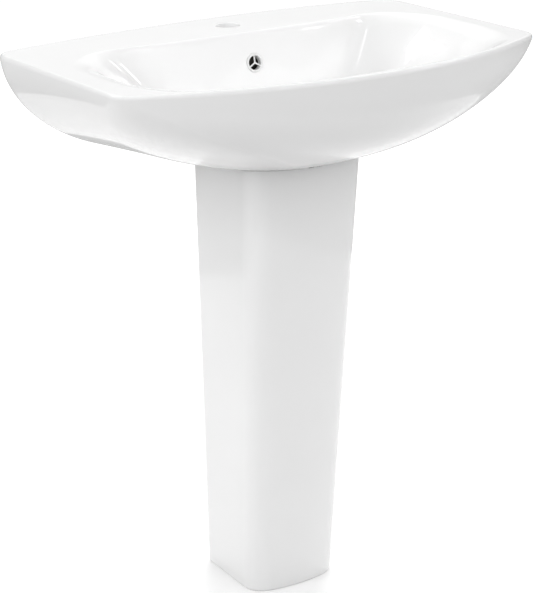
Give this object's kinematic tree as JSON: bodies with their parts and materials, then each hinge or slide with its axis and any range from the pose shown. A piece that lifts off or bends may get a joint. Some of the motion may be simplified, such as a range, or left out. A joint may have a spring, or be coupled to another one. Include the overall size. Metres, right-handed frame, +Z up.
{
  "type": "pedestal sink",
  "caption": "Ceramic pedestal sink with a bowed front, a tap ledge with one hole, an overflow, a press-open waste and a bottle trap inside the pedestal.",
  "frame": {"origin": "on the floor, in the middle of the object's plan: halfway across its width and halfway between the wall face and the foremost point of the rim", "axes": "+Z up, +Y towards the wall, +X to the right of a user who faces the wall"},
  "size_m": [0.7026, 0.467, 0.84],
  "materials": {
    "glazed_china": "glossy white glaze over vitreous china",
    "black_rubber": "matt",
    "chrome_trim": "polished",
    "chromed_brass": "polished chrome over brass",
    "plain_brass": "machined",
    "steel_pin": "turned",
    "white_nylon": "matt moulded",
    "white_plastic": "moulded polypropylene"
  },
  "bodies": {
    "root": {"basin": "glazed_china", "pedestal": "glazed_china", "pedestal_pads": "black_rubber", "overflow_ring": "chrome_trim", "wall_bushes": "white_nylon", "waste_body": "chromed_brass", "waste_top_seal": "black_rubber", "waste_under_washer": "black_rubber", "waste_backnut": "plain_brass", "plug_cartridge": "plain_brass", "inlet_nut": "white_plastic", "inlet_washer": "black_rubber", "inlet_tube": "white_plastic", "trap_nut": "white_plastic", "trap_washer": "black_rubber", "trap_head": "white_plastic", "outlet_nut": "white_plastic", "outlet_washer": "black_rubber", "outlet_pipe": "white_plastic"},
    "plug": {"plug_stem": "steel_pin", "plug_cap": "chromed_brass", "plug_seal": "black_rubber"},
    "cup": {"trap_cup": "white_plastic", "cup_seal": "black_rubber"}
  },
  "joints": [
    {"name": "plug_slide", "type": "slide", "parent": "root", "child": "plug", "axis": [0, 0, 1], "range_m": [-0.008, 0]},
    {"name": "cup_lowering", "type": "slide", "parent": "root", "child": "cup", "axis": [0, 0, 1], "range_m": [-0.06, 0]}
  ]
}
